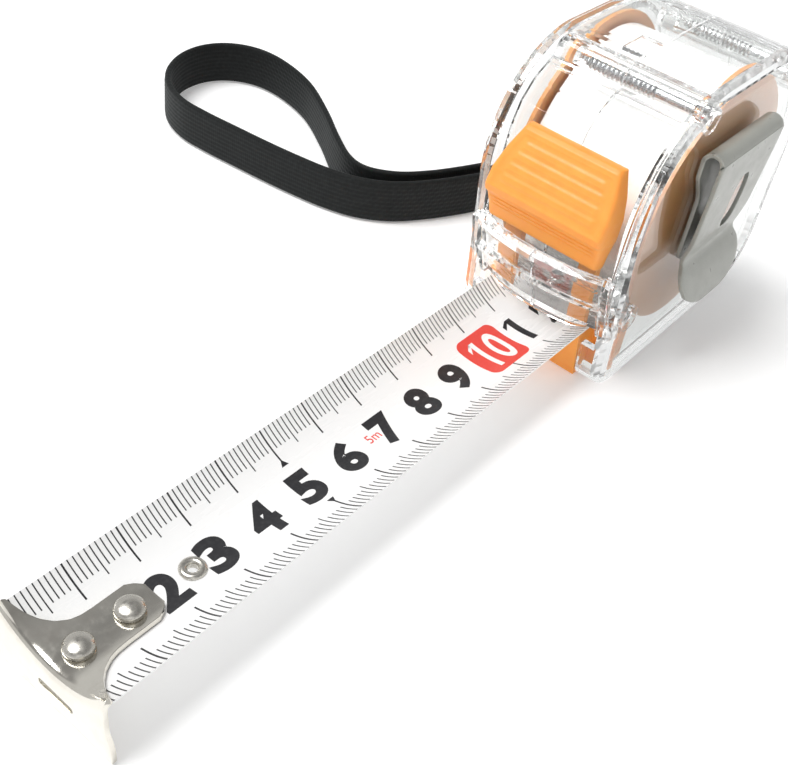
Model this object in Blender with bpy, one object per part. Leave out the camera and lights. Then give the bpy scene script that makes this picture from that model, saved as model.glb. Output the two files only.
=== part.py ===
"""A 5 m pocket tape measure with a clear plastic case, modelled piece by piece.

The case stands on the XY plane, +Z up. The blade runs out of the mouth along -X, the belt clip is on the
-Y side, and the origin is in the middle of the case's base. Sizes below are in millimetres.
"""

import math

import bmesh
import bpy
from mathutils import Vector

MM = 0.001
GAP = 0.3  # clearance between two pieces that touch on the real object

# Case
CASE_TOP = 60.1
CASE_FRONT_FOOT = -28.4  # the front leans forwards from here
CASE_REAR = 33.0
FRONT_LEAN = 0.111  # how far the front moves out per millimetre of height
CORNER_FRONT_FOOT, CORNER_FRONT_TOP, CORNER_REAR_TOP, CORNER_REAR_FOOT = 4.0, 22.0, 23.0, 13.0
WALL = 1.8
HALF_INSIDE = 14.6  # from the centre plane to the inside of a side wall
SIDE_FACE = 16.4  # from the centre plane to the recessed face of a side wall
HALF_CASE = 17.5  # from the centre plane to the rim that stands round that face
MOUTH_TOP = 9.5

# Reel and blade
REEL_Z = 32.0
COIL_R = 23.6
COIL_BORE_R = 16.4
HUB_R, HUB_BORE_R = 16.0, 14.8
FLANGE_R, FLANGE_BORE_R = 25.8, 3.6
FLANGE_Y, FLANGE_THICK = 13.2, 0.8
SPINDLE_R, SPINDLE_END = 3.2, 15.3
BLADE_WIDTH = 25.0
BLADE_CURVE_R = 17.5  # radius of the blade's cross-section
BLADE_THICK = 0.2
BLADE_Z = 8.0  # height of the blade's centre line
BLADE_END = -144.0
EYELET_X = BLADE_END + 25.0
RIVET_XS = (BLADE_END + 4.0, BLADE_END + 13.0)

# Screws through both halves of the case: x, z and the radius of the boss round them
CASE_SCREWS = {
    "front_top": (-15.5, 56.0, 2.8),
    "front_mouth": (-23.3, 15.7, 2.45),
    "rear_top": (24.3, 51.0, 2.8),
    "rear_foot": (26.0, 6.8, 2.8),
}
# The heads of these stand further out, in bosses that reach past the side wall
PROUD_SCREWS = ("front_mouth", "front_top")
BOSS_HOLE_R, HEAD_HOLE_R = 1.4, 2.1
SCREW_R, SCREW_HEAD_R = 1.05, 1.8
SCREW_SEAT, PROUD_SEAT = 12.6, 14.9  # from the centre plane to the shoulder under a screw's head
PROUD_BOSS_END = 17.3
SCREW_TIP = 10.2  # how far a screw reaches into the left half

# Belt clip
CLIP_X = -1.0
CLIP_SHEET = 0.8
CLIP_HALF = 12.2  # half the clip's width at its upper bend
CLIP_BASE_Y = -17.1  # middle of the sheet that is screwed to the case
CLIP_BEND_Y, CLIP_BEND_Z, CLIP_BEND_R = -19.0, 46.6, 1.9

# Wrist strap
STRAP_WIDTH, STRAP_THICK = 10.5, 1.6
PIN_X, PIN_Y, PIN_R = 39.5, 5.0, 1.3
LUG_LOW_Z, LUG_HIGH_Z, LUG_THICK = 0.9, 14.6, 2.0


# ---------------------------------------------------------------- materials


def material(name, colour, roughness, metallic=0.0, alpha=1.0):
    made = bpy.data.materials.new(name)
    made.use_nodes = True
    shader = made.node_tree.nodes["Principled BSDF"]
    shader.inputs["Base Color"].default_value = (*colour, 1.0)
    shader.inputs["Roughness"].default_value = roughness
    shader.inputs["Metallic"].default_value = metallic
    shader.inputs["Alpha"].default_value = alpha
    return made


# ---------------------------------------------------------------- shapes


def finish(name, bm, look, smooth=True):
    """Make the bmesh, which is in millimetres, into an object in metres."""
    bmesh.ops.remove_doubles(bm, verts=bm.verts, dist=1e-4)
    bmesh.ops.recalc_face_normals(bm, faces=bm.faces)
    bmesh.ops.scale(bm, vec=(MM, MM, MM), verts=bm.verts)
    mesh = bpy.data.meshes.new(name)
    bm.to_mesh(mesh)
    bm.free()
    mesh.materials.append(look)
    if smooth:
        mesh.shade_smooth()
        mesh.set_sharp_from_angle(angle=math.radians(32))
    obj = bpy.data.objects.new(name, mesh)
    bpy.context.scene.collection.objects.link(obj)
    return obj


def loft(rings, closed=False):
    """A closed solid through rings of equal count: capped at both ends, or joined last to first."""
    bm = bmesh.new()
    made = [[bm.verts.new(point) for point in ring] for ring in rings]
    pairs = list(zip(made, made[1:]))
    if closed:
        pairs.append((made[-1], made[0]))
    else:
        bm.faces.new(made[0])
        bm.faces.new(made[-1])
    count = len(made[0])
    for one, two in pairs:
        for i in range(count):
            j = (i + 1) % count
            bm.faces.new((one[i], one[j], two[j], two[i]))
    return bm


def along_y(outline, low, high):
    """An outline of (x, z) points carried from y = low to y = high."""
    return loft([[(x, y, z) for x, z in outline] for y in (low, high)])


def along_x(outline, low, high):
    """An outline of (y, z) points carried from x = low to x = high."""
    return loft([[(x, y, z) for y, z in outline] for x in (low, high)])


def along_z(outline, low, high):
    """An outline of (x, y) points carried from z = low to z = high."""
    return loft([[(x, y, z) for x, y in outline] for z in (low, high)])


def circle(a, b, radius, steps=24):
    turn = 2 * math.pi / steps
    return [(a + radius * math.cos(i * turn), b + radius * math.sin(i * turn)) for i in range(steps)]


def box(x0, x1, y0, y1, z0, z1):
    return along_z([(x0, y0), (x1, y0), (x1, y1), (x0, y1)], z0, z1)


def turned(profile, place, steps=20):
    """Rings of (radius, place along the axis) joined in order; place gives a point its coordinates."""
    rings = []
    for radius, along in profile:
        rings.append([place(a, b, along) for a, b in circle(0.0, 0.0, radius, steps)])
    return rings


def turned_y(profile, x, z, steps=20):
    """A solid turned round the line through (x, z) along Y, capped at its first and last ring."""
    return loft(turned(profile, lambda a, b, y: (x + a, y, z + b), steps))


def turned_z(profile, x, y, steps=20, closed=False):
    """The same round the line through (x, y) along Z; closed joins the last ring to the first."""
    return loft(turned(profile, lambda a, b, z: (x + a, y + b, z), steps), closed)


def tube(outer, inner, low, high, steps=48):
    """A ring round the reel's axis."""
    profile = [(outer, low), (outer, high), (inner, high), (inner, low)]
    return loft(turned(profile, lambda a, b, y: (a, y, REEL_Z + b), steps), closed=True)


def rounded(corners, inset=0.0, least=0.5):
    """A convex outline with round corners, from (x, z, radius, steps), with every side moved in by inset."""
    count = len(corners)
    lines = []
    for i, (x, z, _, _) in enumerate(corners):
        nx, nz = corners[(i + 1) % count][:2]
        length = math.hypot(nx - x, nz - z)
        inward = Vector((-(nz - z) / length, (nx - x) / length))
        lines.append((Vector((x, z)) + inward * inset, Vector((nx - x, nz - z)) / length))
    points = []
    for i, (_, _, radius, steps) in enumerate(corners):
        (p, d), (q, e) = lines[i - 1], lines[i]
        corner = p + d * ((q - p).cross(e) / d.cross(e))
        radius = max(radius - inset, least)
        half = math.acos(max(-1.0, min(1.0, d.dot(e)))) / 2
        back = radius * math.tan(half)
        centre = corner + (e - d).normalized() * (radius / math.cos(half))
        start = corner - d * back - centre
        for k in range(steps + 1):
            angle = 2 * half * k / steps
            c, s = math.cos(angle), math.sin(angle)
            points.append((centre.x + start.x * c - start.y * s, centre.y + start.x * s + start.y * c))
    return points


def evaluated(obj):
    graph = bpy.context.evaluated_depsgraph_get()
    return bpy.data.meshes.new_from_object(obj.evaluated_get(graph))


def combine(target, bm, operation):
    """Join a bmesh to an object, or cut it out of the object, and keep the result as the object's mesh."""
    tool = finish("tool", bm, target.data.materials[0], smooth=False)
    modifier = target.modifiers.new("combine", "BOOLEAN")
    modifier.operation = operation
    modifier.object = tool
    mesh = evaluated(target)
    target.modifiers.remove(modifier)
    target.data = mesh
    bpy.data.objects.remove(tool)
    mesh.shade_smooth()
    mesh.set_sharp_from_angle(angle=math.radians(32))
    return target


def join(target, bm):
    return combine(target, bm, "UNION")


def cut(target, bm):
    return combine(target, bm, "DIFFERENCE")


# ---------------------------------------------------------------- case


def case_outline(inset=0.0):
    top_of_front = CASE_FRONT_FOOT - FRONT_LEAN * CASE_TOP
    return rounded(
        [
            (CASE_FRONT_FOOT, 0.0, CORNER_FRONT_FOOT, 5),
            (CASE_REAR, 0.0, CORNER_REAR_FOOT, 10),
            (CASE_REAR, CASE_TOP, CORNER_REAR_TOP, 16),
            (top_of_front, CASE_TOP, CORNER_FRONT_TOP, 18),
        ],
        inset,
    )


# Slope of the recessed front wall, which the thumb lock slides along
WALL_FOOT = Vector((-31.7, 24.0))
WALL_HEAD = Vector((-28.25, 45.0))
SLIDE = (WALL_HEAD - WALL_FOOT).normalized()

# The bridge over the blade, as it is at its ends: its front from the top lip down, and then its back
BRIDGE_FRONT = [
    (-31.7, 27.7), (-32.7, 27.9), (-33.8, 27.2), (-33.9, 26.2), (-32.8, 25.3), (-31.5, 21.3),
    (-32.1, 20.2), (-31.7, 19.1), (-30.3, 18.5), (-28.5, 14.6), (-28.8, 13.6), (-28.1, 12.7),
    (-27.6, 11.7), (-26.9, 12.2), (-27.4, 14.6), (-30.3, 21.6),
]
BRIDGE_BULGE = 2.6  # the bridge's middle stands this far ahead of its ends


def front_wall():
    """The thin wall behind the thumb lock, from behind the bridge up to the top boss."""
    outside = [WALL_FOOT, WALL_HEAD, Vector((-26.6, 49.4)), Vector((-23.7, 52.7)), Vector((-19.9, 55.0)),
               Vector((-15.5, 56.2))]
    inside = [p + Vector((1.25, -0.35)) for p in outside[:2]]
    inside += [Vector((-25.5, 48.7)), Vector((-22.9, 51.7)), Vector((-19.4, 53.8)), Vector((-15.5, 54.9))]
    return [tuple(p) for p in outside + inside[::-1]]


BRIDGE_FOOT, BRIDGE_KNEE = 11.4, 14.6  # below the knee, the bridge arches over the blade's raised edges


def bridge(side):
    rings = []
    for y in (GAP / 2, 4.0, 6.0, 8.0, 9.8, 11.4, 13.0, 14.8):
        bulge = BRIDGE_BULGE * (1 - (y / 14.8) ** 2)
        lift = max(0.0, over_blade(min(y, 11.4)) + 0.8 - BRIDGE_FOOT)
        ring = []
        for x, z in BRIDGE_FRONT:
            share = max(0.0, (BRIDGE_KNEE - z) / (BRIDGE_KNEE - BRIDGE_FOOT))
            ring.append((x - bulge - FRONT_LEAN * lift * share, side * y, z + lift * share))
        rings.append(ring)
    return loft(rings)


# Outlines of (x, z) points, cut out of or joined to each half of the case
WINDOW = [(-45, MOUTH_TOP), (-25, MOUTH_TOP), (-25, 40), (-14, 57.2), (-17.2, 63), (-45, 63)]
MOUTH = [(-45, -1), (-24, -1), (-24, MOUTH_TOP + 1), (-45, MOUTH_TOP + 1)]
MOUTH_HALF = 11.6
CHEEK = [(-33.6, 26.8), (-30.0, 27.4), (-25.6, 12.0), (-28.2, 11.8), (-32.0, 20.6)]  # ends of the bridge
LOCK_SLOT = [(-36, 30.5), (-25, 28.6), (-25, 44.3), (-36, 46.2)]
LOCK_SLOT_HALF = 4.6
IN_WALL = HALF_INSIDE + 0.4  # inner ribs and bosses run this far out, into the side wall
OUTSIDE = 18.0  # past a side wall, for what cuts through it


def case_half(name, side, look):
    def span(outline, low, high):
        return along_y(outline, side * low, side * high)

    steps = [(GAP / 2, 0.0), (15.8, 0.0), (16.9, 0.45), (HALF_CASE, 1.5), (HALF_CASE, 3.6), (SIDE_FACE, 4.9)]
    rings = [[(x, side * y, z) for x, z in case_outline(inset)] for y, inset in steps]
    shell = finish(name, loft(rings), look)
    cut(shell, span(case_outline(WALL), -1.0, HALF_INSIDE))

    cut(shell, span(WINDOW, -1.0, HALF_INSIDE))
    cut(shell, span(MOUTH, -1.0, MOUTH_HALF))

    join(shell, span(front_wall(), GAP / 2, IN_WALL))
    join(shell, bridge(side))
    join(shell, span(CHEEK, 13.4, 15.6))
    for x, z, radius in CASE_SCREWS.values():
        join(shell, span(circle(x, z, radius), GAP / 2, IN_WALL))

    cut(shell, span(LOCK_SLOT, -1.0, LOCK_SLOT_HALF))
    cut(shell, span(circle(0.0, REEL_Z, SPINDLE_R + GAP), IN_WALL - 1.0, SPINDLE_END + 0.4))
    if side < 0:
        for place in PROUD_SCREWS:
            x, z, radius = CASE_SCREWS[place]
            join(shell, span(circle(x, z, radius + 0.3), IN_WALL, PROUD_BOSS_END))
    for place, (x, z, _) in CASE_SCREWS.items():
        cut(shell, span(circle(x, z, BOSS_HOLE_R, 16), -1.0, OUTSIDE if side < 0 else SCREW_TIP + 0.8))
        if side < 0:
            cut(shell, span(circle(x, z, HEAD_HOLE_R, 20), screw_seat(place), OUTSIDE))
    return shell


def screw_seat(place):
    return PROUD_SEAT if place in PROUD_SCREWS else SCREW_SEAT


TONGUE_REACH = 4.0


def tongues(left, right):
    """Steps in the joint between the halves: one across the top and one along the base."""
    for x0, x1, z0, z1 in ((-12.4, -5.8, CASE_TOP - WALL + 0.1, CASE_TOP - 0.1), (-16.0, 18.0, 0.0, WALL)):
        cut(left, box(x0 - GAP, x1 + GAP, -1.0, TONGUE_REACH + GAP, z0 - 1.0, z1 + 1.0))
        join(right, box(x0, x1, -1.0, TONGUE_REACH, z0, z1))


def strap_lugs(left):
    """Two ears behind the case, which hold the strap's pin upright between them."""
    for z, root in ((LUG_LOW_Z, PIN_X - 14.4), (LUG_HIGH_Z, PIN_X - 9.0)):
        reach = [(root, PIN_Y - 4.2)]
        reach += [(PIN_X + 3.4 * math.sin(a), PIN_Y - 3.4 * math.cos(a))
                  for a in [math.pi * k / 8 for k in range(9)]]
        reach += [(root, PIN_Y + 4.2)]
        join(left, along_z(reach, z, z + LUG_THICK))
    cut(left, along_z(circle(PIN_X, PIN_Y, PIN_R + GAP, 16), LUG_LOW_Z + 0.8, LUG_HIGH_Z + 3))


def clip_hole(right):
    cut(right, along_y(circle(0.0, REEL_Z, 1.6, 16), -18.0, -14.0))


def case_screw(name, x, z, seat, look):
    """A pan-head screw that goes in from the belt clip's side."""
    head = seat + GAP
    profile = [
        (1.0, -head - 1.5), (1.6, -head - 1.1), (SCREW_HEAD_R, -head - 0.4), (SCREW_HEAD_R, -head),
        (SCREW_R, -head), (SCREW_R, 7.5), (0.3, SCREW_TIP),
    ]
    screw = finish(name, turned_y(profile, x, z, 16), look)
    for a, b in ((1.4, 0.28), (0.28, 1.4)):
        cut(screw, along_y([(x - a, z - b), (x + a, z - b), (x + a, z + b), (x - a, z + b)],
                           -head - 2.0, -head - 0.8))
    return screw


def mouth_insert(look):
    """The block under the blade where it leaves the case, hollowed to the blade's curve."""

    def section(half_width, foot):
        top = []
        for k in range(13):
            y = half_width * (1 - k / 6)
            top.append((y, under_blade(min(abs(y), 11.2)) - GAP - 0.1))
        return [(-half_width, foot), (half_width, foot)] + top

    front, back = section(11.25, 0.25), section(11.25, 0.25)
    block = loft([[(-27.9 - 0.22 * z, y, z) for y, z in front], [(-23.0, y, z) for y, z in back]])
    insert = finish("mouth_insert", block, look)
    cut(insert, box(-24.3, -20.0, -20.0, 20.0, -1.0, 2.2))
    flange = section(14.2, 2.2)
    join(insert, along_x(flange, -23.6, -18.5))
    # A groove down the middle, which the rivets' and the eyelet's undersides run in.
    cut(insert, box(-35.0, -15.0, -2.7, 2.7, 6.5, 9.0))
    return insert


# ---------------------------------------------------------------- thumb lock


def lock_point(along, out):
    """A point on the lock: along the slide from the wall's foot, and out from the wall."""
    normal = Vector((-SLIDE.y, SLIDE.x))
    p = WALL_FOOT + SLIDE * along + normal * out
    return (p.x, p.y)


def thumb_lock(look):
    """The button: a thick pad with a ledge for the thumb, cross ribs, and a skirt above the bridge."""
    # Outer face from the top edge down to the skirt's foot: along the slide, out of the wall, half width.
    face = [
        (23.8, 0.5, 10.2), (23.7, 2.2, 10.4), (23.0, 3.1, 10.6), (18.9, 4.9, 11.9), (15.0, 6.5, 12.7),
        (12.0, 7.2, 12.8), (10.7, 6.7, 12.8), (9.8, 5.6, 12.6), (7.0, 4.2, 12.3), (5.4, 3.6, 12.2),
        (4.9, 3.2, 12.1), (4.6, 2.4, 12.0),
    ]
    rings = []
    for along, out, half in face:
        x, z = lock_point(along, out)
        back_x, back_z = lock_point(along, 0.45)
        rings.append([(x, -half, z), (x, half, z), (back_x, half, back_z), (back_x, -half, back_z)])
    # The first ring has no depth, so it takes the back plate's corner a little above it.
    top_x, top_z = lock_point(23.9, 0.45)
    rings[0] = [(rings[0][0][0], -10.0, rings[0][0][2]), (rings[0][1][0], 10.0, rings[0][1][2]),
                (top_x + 0.05, 10.0, top_z), (top_x + 0.05, -10.0, top_z)]
    pad = finish("thumb_lock", loft(rings), look)
    # A shallow panel in the face, with ribs left standing across it.
    for low, high in ((21.0, 19.8), (18.6, 17.4), (16.2, 15.0), (13.8, 12.8)):
        floor = [lock_point(along, face_depth(face, along) - 0.45) for along in (high, low)]
        groove = [lock_point(low, 9.5), lock_point(high, 9.5), *floor]
        cut(pad, along_y(groove, -9.2, 9.2))
    # The stem that goes through the wall's slot.
    stem = [lock_point(9.5, 1.0), lock_point(15.5, 1.0), lock_point(15.5, -1.55), lock_point(9.5, -1.55)]
    join(pad, along_y(stem, -4.0, 4.0))
    return pad


def face_depth(face, along):
    """How far the pad's outer face stands out of the wall at a place along the slide."""
    for (a, out_a, _), (b, out_b, _) in zip(face, face[1:]):
        if b <= along <= a:
            return out_b + (out_a - out_b) * (along - b) / (a - b)
    return face[0][1]


def lock_slider(look):
    """The plate behind the wall, with two prongs that hold the blade down at its edges."""
    plate = [lock_point(5.0, -1.9), lock_point(17.5, -1.9), lock_point(17.5, -3.2), lock_point(5.0, -3.2)]
    slider = finish("lock_slider", along_y(plate, -10.5, 10.5), look)
    arm = [lock_point(6.0, -1.9), lock_point(6.0, -3.2), (-27.0, 24.0), (-26.6, 12.2), (-27.6, 11.9),
           (-28.4, 16.0), (-28.9, 21.0)]
    for side in (-1, 1):
        join(slider, along_y(arm, side * 6.6, side * 10.4))
    return slider


# ---------------------------------------------------------------- reel


def spindle(look):
    post = finish("spindle", along_y(circle(0.0, REEL_Z, SPINDLE_R), -SPINDLE_END, SPINDLE_END), look)
    cut(post, along_y(circle(0.0, REEL_Z, 1.4, 12), -16.0, -8.0))
    return post


def power_spring(look):
    """The spiral spring inside the hub."""
    turns, steps, thick, half_width = 6, 26, 0.35, 9.0
    start, end = SPINDLE_R + 0.9, HUB_BORE_R - 0.8
    total = turns * steps
    rings = []
    for i in range(total + 1):
        angle = 2 * math.pi * i / steps
        r = start + (end - start) * i / total
        c, s = math.cos(angle), math.sin(angle)
        near, far = r - thick / 2, r + thick / 2
        rings.append([(near * c, -half_width, REEL_Z + near * s), (far * c, -half_width, REEL_Z + far * s),
                      (far * c, half_width, REEL_Z + far * s), (near * c, half_width, REEL_Z + near * s)])
    return finish("power_spring", loft(rings), look)


def reel(plastic, paint):
    finish("reel_hub", tube(HUB_R, HUB_BORE_R, -FLANGE_Y + GAP, FLANGE_Y - GAP), plastic)
    half = BLADE_WIDTH / 2
    finish("blade_coil", tube(COIL_R, COIL_BORE_R, -half, half, steps=64), paint)
    for name, side in (("reel_flange_left", 1), ("reel_flange_right", -1)):
        low, high = sorted((side * FLANGE_Y, side * (FLANGE_Y + FLANGE_THICK)))
        finish(name, tube(FLANGE_R, FLANGE_BORE_R, low, high), plastic)


# ---------------------------------------------------------------- blade and hook


def blade_rise(y, curve_r=BLADE_CURVE_R):
    """How far the blade's cross-section has risen at a distance from its centre line."""
    return curve_r - math.sqrt(curve_r * curve_r - y * y)


def under_blade(y):
    return BLADE_Z - BLADE_THICK / 2 + blade_rise(y)


def over_blade(y):
    return BLADE_Z + BLADE_THICK / 2 + blade_rise(y)


def blade_section(x, flatness):
    """The blade's cross-section: flatness 0 is the free blade's curve, and 1 is flat."""
    curve_r = BLADE_CURVE_R / max(1.0 - flatness, 0.02)
    half = BLADE_WIDTH / 2 / curve_r
    top, bottom = [], []
    for k in range(17):
        angle = half * (k / 8 - 1)
        for row, r in ((top, curve_r - BLADE_THICK / 2), (bottom, curve_r + BLADE_THICK / 2)):
            row.append((x, r * math.sin(angle), BLADE_Z + curve_r - r * math.cos(angle)))
    return top + bottom[::-1]


def blade_strip(look):
    sections = [(BLADE_END, 0.0), (-18.0, 0.0), (-12.0, 0.38), (-6.0, 0.85), (-1.0, 0.985), (1.0, 1.0)]
    strip = finish("blade_strip", loft([blade_section(x, flat) for x, flat in sections]), look)
    for x in RIVET_XS:
        cut(strip, along_z(circle(x, 0.0, 1.3, 16), 5.0, 12.0))
    cut(strip, along_z(circle(EYELET_X, 0.0, 1.4, 16), 5.0, 12.0))
    return strip


def blade_eyelet(look):
    profile = [(0.8, 7.2), (0.8, 8.7), (1.3, 8.85), (2.0, 8.75), (2.2, 8.5), (1.1, 8.5), (1.1, 7.5),
               (1.9, 7.5), (1.9, 7.2)]
    return finish("blade_eyelet", turned_z(profile, EYELET_X, 0.0, closed=True), look)


HOOK_SHEET = 0.8
HOOK_INSIDE = BLADE_END - GAP  # the leg's face towards the blade
HOOK_HALF = 11.5


# Half width of the hook's plate at distances from the blade's end
TONGUE_WIDTHS = [(1.6, 9.4), (4.0, 6.7), (6.6, 5.1), (9.0, 4.6), (16.2, 4.6), (18.4, 2.4)]


def end_hook(look):
    """The end hook: a plate riveted on the blade, with a flared front edge, and a leg down to the base."""
    front = HOOK_INSIDE - HOOK_SHEET
    half_outline = [(front, HOOK_HALF), (HOOK_INSIDE + 0.6, HOOK_HALF)]
    half_outline += [(BLADE_END + reach, half) for reach, half in TONGUE_WIDTHS]
    outline = half_outline + [(x, -y) for x, y in half_outline[::-1]]
    plate = finish("end_hook", along_z(outline, 6.0, 18.0), look)
    ys = [HOOK_HALF * (k / 8 - 1) * 1.02 for k in range(17)]
    low = [(y, over_blade(y) + GAP) for y in ys]
    high = [(y, over_blade(y) + GAP + HOOK_SHEET) for y in ys]
    slab = along_x(low + high[::-1], front - 1.0, BLADE_END + 20.0)
    combine(plate, slab, "INTERSECT")
    ys = [HOOK_HALF * (1 - k / 8) for k in range(17)]
    leg = [(-HOOK_HALF, 6.2), (-HOOK_HALF - 1.2, 3.0), (-HOOK_HALF - 1.2, GAP)]
    leg += [(HOOK_HALF + 1.2, GAP), (HOOK_HALF + 1.2, 3.0), (HOOK_HALF, 6.2)]
    leg += [(y, over_blade(y) + GAP + HOOK_SHEET * 0.98) for y in ys]
    join(plate, along_x(leg, front, HOOK_INSIDE))
    cut(plate, box(front - 1.0, HOOK_INSIDE + 1.0, -4.6, 2.8, 3.6, 4.7))
    for x in RIVET_XS:
        hole = [(x + 0.9 + 1.5 * math.cos(a), 1.5 * math.sin(a))
                for a in [math.pi * (k / 8 - 0.5) for k in range(9)]]
        hole += [(x - 0.1 - 1.5 * math.cos(a), -1.5 * math.sin(a))
                 for a in [math.pi * (k / 8 - 0.5) for k in range(9)]]
        cut(plate, along_z(hole, 5.0, 14.0))
    return plate


def hook_rivet(name, x, look):
    profile = [(0.5, 11.0), (1.1, 10.8), (1.8, 10.4), (2.25, 9.75), (1.1, 9.75), (1.1, 7.4), (1.9, 7.4),
               (1.7, 6.9)]
    return finish(name, turned_z(profile, x, 0.0), look)


# ---------------------------------------------------------------- belt clip


def clip_sheet(name, path, look):
    """A bent sheet from a path of (y, z, half width), with square edges."""
    rings = []
    for i, (y, z, half) in enumerate(path):
        before, after = path[max(i - 1, 0)], path[min(i + 1, len(path) - 1)]
        along = Vector((after[0] - before[0], after[1] - before[1])).normalized()
        normal = Vector((-along.y, along.x)) * CLIP_SHEET / 2
        ring = []
        for sign, width in ((1, -half), (1, half), (-1, half), (-1, -half)):
            ring.append((CLIP_X + width, y + sign * normal.x, z + sign * normal.y))
        rings.append(ring)
    return finish(name, loft(rings), look)


def bend_points(first, last, steps, half):
    """Points round the clip's upper bend, from one angle to another, in degrees from +Y."""
    points = []
    for k in range(steps + 1):
        angle = math.radians(first + (last - first) * k / steps)
        y = CLIP_BEND_Y + CLIP_BEND_R * math.cos(angle)
        z = CLIP_BEND_Z + CLIP_BEND_R * math.sin(angle)
        points.append((y, z, half))
    return points


def clip_base(look):
    path = [(CLIP_BASE_Y, 22.0, 6.2), (CLIP_BASE_Y, 24.0, 8.2), (CLIP_BASE_Y, 36.5, 8.2),
            (CLIP_BASE_Y, 43.5, CLIP_HALF)]
    path += bend_points(0, 86, 6, CLIP_HALF)
    base = clip_sheet("clip_base", path, look)
    cut(base, along_y(circle(0.0, REEL_Z, 1.6, 16), -19.0, -16.0))
    return base


# The leaf's middle line below the bend, down to its round lip: y, z and half width
LEAF_PATH = [
    (-20.6, 40.0, 11.7), (-20.2, 33.0, 11.1), (-19.9, 29.4, 10.7), (-19.3, 26.4, 10.4), (-19.0, 24.8, 10.3),
    (-19.3, 23.6, 10.5), (-20.2, 21.8, 11.6), (-21.2, 19.6, 11.7), (-22.0, 17.4, 10.5), (-22.5, 15.8, 8.3),
    (-22.7, 14.8, 5.9), (-22.8, 14.3, 3.3),
]


def clip_leaf(look):
    path = bend_points(94, 180, 6, CLIP_HALF)
    path += LEAF_PATH
    leaf = clip_sheet("clip_leaf", path, look)
    x = CLIP_X + 1.6  # the slot is a little behind the middle
    slot = [(x - 1.9, 31.6), (x, 28.6), (x + 1.9, 31.6), (x + 1.9, 37.6), (x, 40.6), (x - 1.9, 37.6)]
    cut(leaf, along_y(slot, -25.0, -18.5))
    return leaf


def clip_screw(look):
    face = CLIP_BASE_Y - CLIP_SHEET / 2 - GAP
    profile = [(2.0, face - 1.1), (2.8, face - 0.4), (2.8, face), (1.05, face), (1.05, -9.0)]
    screw = finish("clip_screw", turned_y(profile, 0.0, REEL_Z, 16), look)
    cut(screw, along_y([(-1.7, REEL_Z - 0.3), (1.7, REEL_Z - 0.3), (1.7, REEL_Z + 0.3), (-1.7, REEL_Z + 0.3)],
                       face - 2.0, face - 0.6))
    return screw


# ---------------------------------------------------------------- wrist strap


def round_pin(first, last, steps):
    """Points of the strap's middle line round its pin, from one angle to another, in degrees."""
    radius = PIN_R + STRAP_THICK / 2 + 0.45
    angles = [math.radians(first + (last - first) * k / steps) for k in range(steps + 1)]
    return [(PIN_X + radius * math.cos(a), PIN_Y + radius * math.sin(a)) for a in angles]


# The strap's middle line on the ground, from the back of its pin, round the loop and back to the pin.
STRAP_ROUTE = [
    *round_pin(-86, -190, 5), (37.3, 11.0), (35.9, 17.6),
    (31.6, 23.2), (24.6, 27.9), (16.0, 31.9), (7.0, 35.6), (-1.0, 38.9), (-8.6, 42.6), (-15.8, 47.4),
    (-20.8, 53.6),
    (-23.6, 61.0), (-25.2, 69.0), (-26.4, 77.5), (-27.3, 86.0), (-28.2, 95.0), (-28.2, 103.0), (-25.6, 110.6),
    (-20.3, 116.4), (-13.0, 119.8), (-5.6, 119.8), (0.5, 116.4), (4.2, 110.0), (4.6, 101.5), (1.8, 90.5),
    (-4.6, 79.0), (-11.2, 69.2), (-15.6, 61.4), (-16.0, 55.6), (-12.2, 49.8), (-6.0, 45.4), (1.2, 41.9),
    (8.6, 38.8), (17.2, 35.0), (25.8, 31.0), (33.6, 25.6), (38.8, 18.6), (41.3, 11.5), *round_pin(10, -60, 4),
]
STRAP_STEPS = 2  # points between one route point and the next


def smooth_line(points, steps):
    """A smooth curve through the given points, with that many steps from each to the next."""
    line = []
    for i in range(len(points) - 1):
        p = [Vector(points[min(max(j, 0), len(points) - 1)]) for j in (i - 1, i, i + 1, i + 2)]
        for k in range(steps):
            t = k / steps
            line.append(0.5 * (2 * p[1] + (p[2] - p[0]) * t + (2 * p[0] - 5 * p[1] + 4 * p[2] - p[3]) * t * t
                               + (3 * p[1] - p[0] - 3 * p[2] + p[3]) * t * t * t))
    return line + [Vector(points[-1])]


def strap_foot(x):
    """The strap's lower edge: on the ground, and up over the lower lug near the pin."""
    share = min(max((x - 16.0) / 19.0, 0.0), 1.0)
    return GAP + (LUG_LOW_Z + LUG_THICK) * share * share * (3 - 2 * share)


def wrist_strap(look):
    line = smooth_line(STRAP_ROUTE, STRAP_STEPS)
    rings = []
    for i, here in enumerate(line):
        along = (line[min(i + 1, len(line) - 1)] - line[max(i - 1, 0)]).normalized()
        across = Vector((-along.y, along.x)) * STRAP_THICK / 2
        foot = strap_foot(here.x)
        one, two = here + across, here - across
        rings.append([(one.x, one.y, foot), (two.x, two.y, foot),
                      (two.x, two.y, foot + STRAP_WIDTH), (one.x, one.y, foot + STRAP_WIDTH)])
    return finish("wrist_strap", loft(rings), look)


def strap_pin(look):
    pin = along_z(circle(PIN_X, PIN_Y, PIN_R, 16), LUG_LOW_Z + 1.1, LUG_HIGH_Z + 2.4)
    return finish("strap_pin", pin, look)


# ---------------------------------------------------------------- the whole object


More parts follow.
